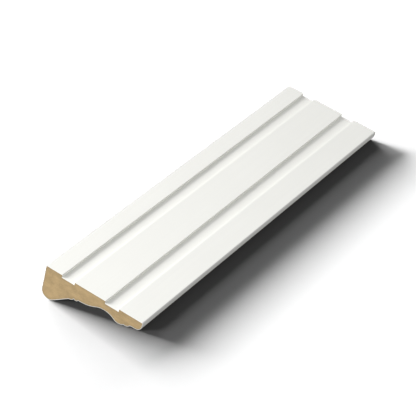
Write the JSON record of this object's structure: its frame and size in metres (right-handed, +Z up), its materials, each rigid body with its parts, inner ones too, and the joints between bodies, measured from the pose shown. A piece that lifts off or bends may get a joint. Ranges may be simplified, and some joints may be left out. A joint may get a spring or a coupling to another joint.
{
  "type": "casing moulding",
  "caption": "Short length of primed fibreboard door casing: nosed thick edge, two small beads, ogee and bead on the face, two relief grooves in the flat back, ends cut square.",
  "frame": {"origin": "under the middle of the moulding, on the surface that it lies on", "axes": "+Z up from that surface, +Y along the length, +X across from the thick edge to the thin edge. The back faces up and leans 14.5 degrees towards +X, because the moulding lies on its face"},
  "size_m": [0.059, 0.2234, 0.0193],
  "materials": {
    "primer": "satin primer"
  },
  "bodies": {
    "root": {"casing_moulding": "primer"}
  },
  "joints": []
}
